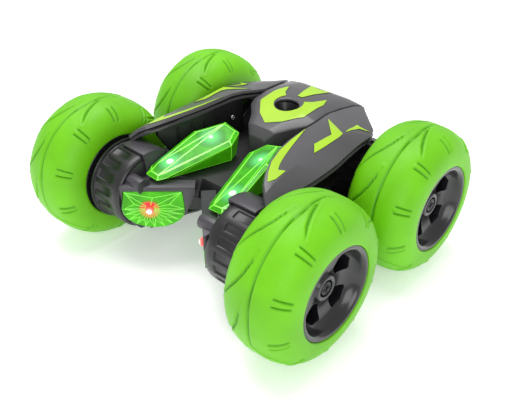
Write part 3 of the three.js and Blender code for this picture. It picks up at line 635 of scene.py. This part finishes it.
def clear_green(name, colour, edge_glow, spots, spot_radius, halo_radius, core, halo):
    """Clear plastic, lit from behind at the given spots."""
    material = bpy.data.materials.new(name)
    material.use_nodes = True
    nodes, links = material.node_tree.nodes, material.node_tree.links
    shader = nodes["Principled BSDF"]
    shader.inputs["Roughness"].default_value = 0.28
    shader.inputs["IOR"].default_value = 1.49
    shader.inputs["Specular IOR Level"].default_value = 0.2
    shader.inputs["Transmission Weight"].default_value = 0.1
    place = nodes.new("ShaderNodeTexCoord")
    cloud = nodes.new("ShaderNodeTexNoise")
    cloud.inputs["Scale"].default_value = 120
    links.new(place.outputs["Object"], cloud.inputs["Vector"])
    tint = nodes.new("ShaderNodeValToRGB")
    tint.color_ramp.elements[0].position = 0.35
    tint.color_ramp.elements[1].position = 0.65
    tint.color_ramp.elements[0].color = (*[c * 0.75 for c in colour], 1)
    tint.color_ramp.elements[1].color = (*[min(1, c * 1.3) for c in colour], 1)
    links.new(cloud.outputs["Fac"], tint.inputs["Fac"])
    nearest = None
    for spot in spots:
        gap = nodes.new("ShaderNodeVectorMath")
        gap.operation = "DISTANCE"
        gap.inputs[1].default_value = spot
        links.new(place.outputs["Object"], gap.inputs[0])
        if nearest is None:
            nearest = gap.outputs["Value"]
            continue
        least = nodes.new("ShaderNodeMath")
        least.operation = "MINIMUM"
        links.new(nearest, least.inputs[0])
        links.new(gap.outputs["Value"], least.inputs[1])
        nearest = least.outputs["Value"]
    share = nodes.new("ShaderNodeMath")
    share.operation = "DIVIDE"
    share.inputs[1].default_value = halo_radius
    links.new(nearest, share.inputs[0])
    glow = nodes.new("ShaderNodeValToRGB")
    glow.color_ramp.interpolation = "EASE"
    glow.color_ramp.elements[0].position = 0.0
    glow.color_ramp.elements[0].color = (*core, 1)
    glow.color_ramp.elements[1].position = 1.0
    glow.color_ramp.elements[1].color = (*edge_glow, 1)
    inner = glow.color_ramp.elements.new(spot_radius / halo_radius * 0.7)
    inner.color = (*core, 1)
    outer = glow.color_ramp.elements.new(min(0.9, spot_radius / halo_radius * 1.9))
    outer.color = (*halo, 1)
    links.new(share.outputs["Value"], glow.inputs["Fac"])
    drowned = nodes.new("ShaderNodeMixRGB")
    drowned.inputs["Color1"].default_value = (*[min(1, 0.2 * c) for c in halo], 1)
    fade = nodes.new("ShaderNodeMapRange")
    fade.inputs["From Min"].default_value = 0.6
    fade.inputs["From Max"].default_value = 1.1
    links.new(share.outputs["Value"], fade.inputs["Value"])
    links.new(fade.outputs["Result"], drowned.inputs["Fac"])
    links.new(tint.outputs["Color"], drowned.inputs["Color2"])
    links.new(drowned.outputs["Color"], shader.inputs["Base Color"])
    links.new(glow.outputs["Color"], shader.inputs["Emission Color"])
    shader.inputs["Emission Strength"].default_value = 1.0
    return material


def painted_edge_highlight(name, colour):
    """A painted highlight: a brighter, faintly glowing copy of clear plastic for a clear moulding's
    polished edges.
    """
    material = moulded_plastic(name, colour, 0.15, shift=0.1, bump=0.01, coat=0.5)
    shader = material.node_tree.nodes["Principled BSDF"]
    # The emission adds to the painted highlight.
    shader.inputs["Emission Color"].default_value = (*colour, 1)
    shader.inputs["Emission Strength"].default_value = 0.25
    return material


crystal_edge_highlight = painted_edge_highlight("crystal_edge_highlight", (0.2, 0.8, 0.04))
for half, way, along in (("top", 1, 1.0), ("bottom", -1, 0.6)):
    for side in SIDES:
        low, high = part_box(f"light_bar_{half}_{side}")
        sign = 1 if high.x > 0 else -1
        top = high.z if way > 0 else low.z
        spots = [(sign * x, y * along, top - way * deep) for x, y, deep in BAR_DIODES]
        crystal = merged_copy(f"light_bar_{half}_{side}")
        edges = [e for e in crystal.edges if e.calc_face_angle(0) > math.radians(8)]
        rounded = bmesh.ops.bevel(
            crystal, geom=edges, offset=BAR_EDGE, segments=2, profile=0.5, affect="EDGES",
            clamp_overlap=True, material=-1,
        )
        # The rounded edges take the second material, a painted highlight.
        for edge_face in rounded["faces"]:
            edge_face.material_index = 1
        clear = clear_green(
            f"clear_green_bar_{half}_{side}", BAR_GREEN, BAR_GLOW, spots, 1.3 * MM, 8 * MM,
            (1.5, 1.9, 1.5), BAR_HALO,
        )
        name = f"crystal_light_bar_{half}_{side}"
        node = f"light_bar_{half}_{side}"
        bar = fit_piece(crystal, name, clear, "chassis", [node], crease=10)
        bar.data.materials.append(crystal_edge_highlight)

# ---- Head lamps ---------------------------------------------------------------------------------
# A clear green half-round lens closes each front housing. Its face is cut in facets with polished
# ridges, painted bright as a highlight, that fan out from a red light-emitting diode, whose dome
# stands through the face.
LED_RADIUS, LED_SUNK = 2.3 * MM, 0.2 * MM
LENS_DIP, FACET_RISE = 1.6 * MM, 0.7 * MM
FACET_EDGE = 0.16 * MM
CORNERS_PER_FACET = 3
for side in SIDES:
    low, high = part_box(f"lamp_led_{side}")
    led = (low + high) / 2
    lens = merged_copy(f"lamp_lens_{side}")
    front = max(lens.faces, key=lambda f: f.calc_area() * (f.normal.y < 0))
    out = front.normal.copy()
    offset = (front.calc_center_median() - led).dot(out)
    spot = led + out * offset
    soften(lens, 0.5 * MM, sharpest=50)
    front = max(lens.faces, key=lambda f: f.calc_area() * (f.normal.dot(out) > 0.9))
    bmesh.ops.inset_region(lens, faces=[front], thickness=0.8 * MM, depth=-0.5 * MM, use_even_offset=True)
    spare = [v for i, v in enumerate(front.verts) if i % CORNERS_PER_FACET]
    bmesh.ops.dissolve_verts(lens, verts=spare)
    front = max(lens.faces, key=lambda f: f.calc_area() * (f.normal.dot(out) > 0.9))
    hub = bmesh.ops.poke(lens, faces=[front], center_mode="MEAN_WEIGHTED")
    for v in hub["verts"]:
        v.co = spot - out * LENS_DIP
    fan = bmesh.ops.poke(lens, faces=hub["faces"], offset=FACET_RISE, center_mode="MEAN_WEIGHTED")
    facets = set(fan["faces"])
    ridges = [e for e in lens.edges if len(e.link_faces) == 2 and facets.issuperset(e.link_faces)]
    cut = bmesh.ops.bevel(
        lens, geom=ridges, offset=FACET_EDGE, segments=1, profile=0.5, affect="EDGES",
        clamp_overlap=True, material=-1,
    )
    # The ridges take the second material, a painted highlight.
    for ridge_face in cut["faces"]:
        ridge_face.material_index = 1
    clear = clear_green(
        f"clear_green_lens_{side}", (0.06, 0.4, 0.005), (0.01, 0.08, 0.0), [tuple(spot)],
        2.2 * MM, 6 * MM, (1.2, 0.1, 0.12), (0.75, 0.03, 0.05),
    )
    name, node = f"faceted_lamp_lens_{side}", f"lamp_lens_{side}"
    lamp_lens = fit_piece(lens, name, clear, "chassis", [node], crease=8)
    lamp_lens.data.materials.append(crystal_edge_highlight)
    diode = bmesh.new()
    upright = out.to_track_quat("Z", "Y").to_matrix().to_4x4()
    place = Matrix.Translation(spot - out * LED_SUNK) @ upright
    bmesh.ops.create_uvsphere(diode, u_segments=24, v_segments=16, radius=LED_RADIUS, matrix=place)
    tip = spot + out * (LED_RADIUS - LED_SUNK)
    red = clear_green(
        f"red_diode_{side}", (0.7, 0.02, 0.02), (0.9, 0.04, 0.03), [tuple(tip)], 1.0 * MM, 3.2 * MM,
        (3, 2.4, 2.3), (1.6, 0.25, 0.2),
    )
    node = f"lamp_led_{side}"
    fit_piece(diode, f"domed_red_diode_{side}", red, "chassis", [node])

# ---- Electrics ----------------------------------------------------------------------------------
# A green circuit board and the blue-wrapped battery pack lie between the chassis halves, the pack
# under its door. The power switch's slider stands through a slot in the lower half.
board_green = moulded_plastic("green_circuit_board", (0.01, 0.11, 0.035), 0.35, grain=700, bump=0.1)
battery_blue = moulded_plastic("blue_battery_wrap", (0.02, 0.09, 0.35), 0.25, bump=0.05, coat=0.4)
switch_black = moulded_plastic("black_switch_slider", (0.03, 0.03, 0.032), 0.5, bump=0.1)
for node, material, slot, body, edge in (
    ("circuit_board", board_green, "board", "chassis", 0.2 * MM),
    ("battery_pack", battery_blue, "battery", "chassis", 0.6 * MM),
    ("power_switch", switch_black, "housing", "power_switch", 0.3 * MM),
):
    piece = merged_copy(node)
    soften(piece, edge)
    fit_piece(piece, f"finished_{node}", material, body, [node])

# ---- Cockpits -----------------------------------------------------------------------------------
# Warm grey moulded shells above and below the tail. The upper one has an oval intake let into it,
# and the lower one a doorway for the battery door, which hinges on its front edge.
SHELL_GREY = (0.062, 0.059, 0.064)
SHELL_EDGE = 1.1 * MM
shell_plastic = moulded_plastic("satin_grey_shell", SHELL_GREY, 0.36, bump=0.04, shift=0.1, coat=0.15)
for half in ("top", "bottom"):
    pod = merged_copy(f"cockpit_{half}")
    soften(pod, SHELL_EDGE, sharpest=14, segments=3)
    fit_piece(pod, f"moulded_cockpit_{half}", shell_plastic, "chassis", [f"cockpit_{half}"])
door = merged_copy("battery_door")
soften(door, 0.4 * MM)
fit_piece(door, "moulded_battery_door", shell_plastic, "battery_door", ["battery_door"])

# ---- Intake liner -------------------------------------------------------------------------------
# A black funnel is pressed into the upper cockpit's oval intake, with a thin proud lip round its mouth.
INTAKE_MIDDLE = Vector((0, 31, 0)) * MM
INTAKE_HALF = (7.2 * MM, 6 * MM)
LINER_WALL, LINER_DEPTH = 0.7 * MM, 7 * MM
LINER_SUNK, LINER_CLEARANCE = 0.3 * MM, 0.2 * MM
PROBES = [(8.6 * MM, 0), (-8.6 * MM, 0), (0, 7.4 * MM), (0, -7.4 * MM)]
mouth = surface_of("cockpit_top")
rim_heights = [
    mouth.ray_cast(Vector((x, INTAKE_MIDDLE.y + y, cad_high.z)), Vector((0, 0, -1)))[0].z
    for x, y in PROBES
]
liner_top = min(rim_heights) - LINER_SUNK
wide = INTAKE_HALF[0] - LINER_CLEARANCE
liner_profile = [
    (-LINER_DEPTH, 0), (-LINER_DEPTH, wide * 0.62), (-LINER_DEPTH * 0.4, wide - 0.6 * MM),
    (0, wide), (0.3 * MM, wide - 0.2 * MM), (0.3 * MM, wide - 0.5 * MM), (-0.3 * MM, wide - LINER_WALL),
    (-LINER_DEPTH * 0.4, wide * 0.74), (-LINER_DEPTH + LINER_WALL, wide * 0.5),
    (-LINER_DEPTH + LINER_WALL, 0),
]
liner = spun(liner_profile, Vector((0, 0, 0)), 96, closed=False)
stand = Matrix.Rotation(-math.pi / 2, 4, "Y")
squash = Matrix.Diagonal((1, INTAKE_HALF[1] / INTAKE_HALF[0], 1, 1))
place = Matrix.Translation((0, INTAKE_MIDDLE.y, liner_top)) @ squash @ stand
bmesh.ops.transform(liner, matrix=place, verts=liner.verts)
fit_piece(liner, "intake_liner", drum_plastic, "chassis")

# ---- Tail louvres -------------------------------------------------------------------------------
# Four black louvre bars cross the flat tail of each cockpit between its two screws.
LOUVRES, LOUVRE_STEP, FIRST_LOUVRE = 4, 2.6 * MM, 19 * MM
LOUVRE_HALF_LENGTH, LOUVRE_HALF_HEIGHT = 7.5 * MM, 0.6 * MM
LOUVRE_ROOT, LOUVRE_PROUD = 0.3 * MM, 0.7 * MM
for half, way in (("top", 1), ("bottom", -1)):
    tail = surface_of(f"cockpit_{half}")
    louvres = bmesh.new()
    for i in range(LOUVRES):
        z = axle_height + way * FIRST_LOUVRE + way * i * LOUVRE_STEP
        hit = tail.ray_cast(Vector((0, 100 * MM, z)), Vector((0, -1, 0)))[0]
        if hit is not None:
            foot = (-LOUVRE_HALF_LENGTH, hit.y - LOUVRE_ROOT, z - LOUVRE_HALF_HEIGHT)
            block(louvres, foot, (LOUVRE_HALF_LENGTH, hit.y + LOUVRE_PROUD, z + LOUVRE_HALF_HEIGHT))
    soften(louvres, 0.25 * MM)
    fit_piece(louvres, f"tail_louvres_{half}", drum_plastic, "chassis")

# ---- Wings --------------------------------------------------------------------------------------
# Four grey moulded blades sweep from beside the light bars out over the gearboxes and back round the
# cockpits, each clipped to the top of a valley wall.
for half in ("top", "bottom"):
    for side in SIDES:
        wing = merged_copy(f"wing_{half}_{side}")
        soften(wing, 0.45 * MM, sharpest=14, segments=3)
        name = f"moulded_wing_{half}_{side}"
        fit_piece(wing, name, shell_plastic, "chassis", [f"wing_{half}_{side}"])

# ---- Wing liners --------------------------------------------------------------------------------
# A thin black liner is clipped under each wing, cut to the shape of the wing's outer skin, and shows as
# a second line below its outer edge.
LINER_DROP, LINER_SHEET = 2.6 * MM, 0.6 * MM
FACES_UP = 0.2
liner_plastic = moulded_plastic("black_wing_liner", (0.02, 0.019, 0.021), 0.3, bump=0.04, coat=0.2)
for half, way in (("top", 1), ("bottom", -1)):
    for side in SIDES:
        wing = merged_copy(f"wing_{half}_{side}")
        others = [f for f in wing.faces if f.normal.z * way < FACES_UP]
        bmesh.ops.delete(wing, geom=others, context="FACES")
        bmesh.ops.translate(wing, vec=(0, 0, -way * LINER_DROP), verts=wing.verts)
        grown = bmesh.ops.extrude_face_region(wing, geom=list(wing.faces))["geom"]
        lifted = [g for g in grown if isinstance(g, bmesh.types.BMVert)]
        bmesh.ops.translate(wing, vec=(0, 0, -way * LINER_SHEET), verts=lifted)
        fit_piece(wing, f"wing_liner_{half}_{side}", liner_plastic, "chassis")

# ---- Decals -------------------------------------------------------------------------------------
# Raised lime flashes, 0.3 mm thick, are pressed onto the shells and follow their facets, with their
# side faces painted dark as shade. Their outlines are in mm from the middle of the car, for its right side.
VINYL, VINYL_LIFT = 0.3 * MM, 0.02 * MM
WEAVE = 0.5 * MM
PROBE_HEIGHT, LOWEST_SHELL = 60 * MM, 20 * MM
STEEP = 0.3
HOOKED_SWEEP = [
    (28.6, 12.4), (30.1, -1.6), (31.9, -11.8), (35, -21.6), (38.7, -28), (42.4, -32.6), (43.4, -28.1),
    (42.9, -20.2), (41.8, -21.2), (40.2, -22.9), (38.2, -19.1), (36, -13.3), (32.8, -3.1),
]
SIDE_CHEVRON = [
    (27.5, 31.5), (42.3, 24.9), (42.8, 21.5), (42.5, 1.4), (38.4, 6.5), (39.2, 19.4), (35.3, 23.1),
]
TAIL_STRIPE = [(42, 27.1), (40.2, 33), (39.2, 41.8), (41.5, 41.5), (47.5, 42.9), (42.2, 39.6), (41.6, 33)]


def inside_outline(point, outline):
    """True where a point lies inside a closed outline."""
    inside_it = False
    for (x0, y0), (x1, y1) in zip(outline, outline[1:] + outline[:1]):
        if (y0 > point[1]) != (y1 > point[1]):
            if point[0] < x0 + (x1 - x0) * (point[1] - y0) / (y1 - y0):
                inside_it = not inside_it
    return inside_it


def nearest_on(point, outline):
    """The outline's nearest point, with a corner taken first where one is near."""
    point = Vector(point)
    kink = min((Vector(p) for p in outline), key=lambda p: (p - point).length)
    if (kink - point).length < 0.6 * WEAVE:
        return kink
    best = None
    for a, b in zip(outline, outline[1:] + outline[:1]):
        a, b = Vector(a), Vector(b)
        share = max(0, min(1, (point - a).dot(b - a) / (b - a).length_squared))
        found = a + (b - a) * share
        if best is None or (found - point).length < (best - point).length:
            best = found
    return best


def vinyl_flash(name, outline_mm, sign, shells, material):
    """A cut flash pressed onto the outside of the named pieces, from above."""
    outline = [(sign * x * MM, y * MM) for x, y in outline_mm]
    xs, ys = [p[0] for p in outline], [p[1] for p in outline]
    across_steps = int((max(xs) - min(xs)) / WEAVE) + 2
    along_steps = int((max(ys) - min(ys)) / WEAVE) + 2
    flash = bmesh.new()
    centre = Vector(((max(xs) + min(xs)) / 2, (max(ys) + min(ys)) / 2, 0))
    shape = Matrix.Diagonal((across_steps * WEAVE / 2, along_steps * WEAVE / 2, 1, 1))
    bmesh.ops.create_grid(
        flash, x_segments=across_steps, y_segments=along_steps, size=1,
        matrix=Matrix.Translation(centre) @ shape,
    )
    outside = [f for f in flash.faces if not inside_outline(f.calc_center_median(), outline)]
    bmesh.ops.delete(flash, geom=outside, context="FACES")
    for v in flash.verts:
        if v.is_boundary:
            v.co.xy = nearest_on(v.co.xy, outline)
    bmesh.ops.remove_doubles(flash, verts=flash.verts, dist=0.02 * MM)
    solid = bmesh.new()
    for shell in shells:
        solid.from_mesh(bpy.data.objects[shell].data)
    tree = BVHTree.FromBMesh(solid)
    solid.free()
    lost = []
    for v in flash.verts:
        start = Vector((v.co.x, v.co.y, axle_height + PROBE_HEIGHT))
        hit = tree.ray_cast(start, Vector((0, 0, -1)))[0]
        if hit is None or hit.z - axle_height < LOWEST_SHELL:
            lost.append(v)
        else:
            v.co.z = hit.z + VINYL_LIFT
    bmesh.ops.delete(flash, geom=lost, context="VERTS")
    bmesh.ops.recalc_face_normals(flash, faces=flash.faces)
    if sum(f.normal.z for f in flash.faces) < 0:
        bmesh.ops.reverse_faces(flash, faces=flash.faces)
    sheet = list(flash.faces)
    grown = bmesh.ops.extrude_face_region(flash, geom=sheet)["geom"]
    lifted = [g for g in grown if isinstance(g, bmesh.types.BMVert)]
    bmesh.ops.translate(flash, vec=(0, 0, VINYL), verts=lifted)
    # Steep side faces take the second material, painted shade standing for the thin shadow round the flash.
    for f in flash.faces:
        f.material_index = 1 if abs(f.normal.z) < STEEP else 0
    piece = fit_piece(flash, name, material, "chassis", crease=30)
    piece.data.materials.append(vinyl_side_shade)


lime_vinyl = moulded_plastic("lime_vinyl", (0.33, 0.56, 0.008), 0.34, grain=900, bump=0.02, shift=0.06)
# Painted shade for the flashes' side faces.
vinyl_side_shade = moulded_plastic("vinyl_side_painted_shade", (0.012, 0.02, 0.006), 0.4, bump=0.02)
for sign, side in ((1, "right"), (-1, "left")):
    wing_name = [f"moulded_wing_top_{side}"]
    vinyl_flash(f"hooked_flash_{side}", HOOKED_SWEEP, sign, wing_name, lime_vinyl)
    vinyl_flash(f"chevron_flash_{side}", SIDE_CHEVRON, sign, wing_name, lime_vinyl)
    vinyl_flash(f"tail_flash_{side}", TAIL_STRIPE, sign, wing_name, lime_vinyl)

RING_MIDDLE, RING_RADIUS = 32.5, 8.3
nose_right = [(0, 12.9), (8, 17.8), (15.5, 26.7), (16, 42.6), (13.6, 49.2), (9.8, 41.1)]
ring_arc = [
    (RING_RADIUS * math.sin(math.radians(t)), RING_MIDDLE - RING_RADIUS * math.cos(math.radians(t)))
    for t in range(130, -1, -10)
]
right_half = nose_right + ring_arc
left_half = [(-x, y) for x, y in reversed(right_half[1:-1])]
cockpit_name = ["moulded_cockpit_top"]
vinyl_flash("cockpit_flash", right_half + left_half, 1, cockpit_name, lime_vinyl)
tail_wedge = [(1.5, 42), (7, 62), (0, 59.5), (-7, 62), (-1.5, 42)]
vinyl_flash("tail_wedge_flash", tail_wedge, 1, cockpit_name, lime_vinyl)

# ---- Studio -------------------------------------------------------------------------------------
# A plain pale floor under one large soft lamp overhead, a softer one in front, and an even white sky.
FLOOR_HALF = 4
floor_finish = moulded_plastic("pale_floor", (0.93, 0.93, 0.93), 0.8, grain=60, bump=0.0, shift=0.01)
ground = bmesh.new()
bmesh.ops.create_grid(ground, x_segments=1, y_segments=1, size=FLOOR_HALF)
floor_mesh = bpy.data.meshes.new("floor")
ground.to_mesh(floor_mesh)
ground.free()
floor_shader = floor_finish.node_tree.nodes["Principled BSDF"]
floor_shader.inputs["Emission Color"].default_value = (1, 1, 1, 1)
floor_shader.inputs["Emission Strength"].default_value = 0.3
floor_mesh.materials.append(floor_finish)
floor = bpy.data.objects.new("floor", floor_mesh)
bpy.context.scene.collection.objects.link(floor)

sky = bpy.data.worlds.new("studio")
sky.use_nodes = True
sky.node_tree.nodes["Background"].inputs["Color"].default_value = (1, 1, 1, 1)
sky.node_tree.nodes["Background"].inputs["Strength"].default_value = 0.7
bpy.context.scene.world = sky
car_middle = Vector((0, 0, axle_height))
for name, place, size, power in (
    ("overhead_lamp", (-0.25, 0.1, 1.2), 0.9, 13),
    ("front_lamp", (0.9, -0.9, 0.7), 0.8, 6),
):
    light = bpy.data.lights.new(name, "AREA")
    light.energy, light.size = power, size
    lamp = bpy.data.objects.new(name, light)
    bpy.context.scene.collection.objects.link(lamp)
    lamp.location = place
    lamp.rotation_euler = (car_middle - Vector(place)).to_track_quat("-Z", "Y").to_euler()
bpy.context.scene.view_settings.view_transform = "Standard"
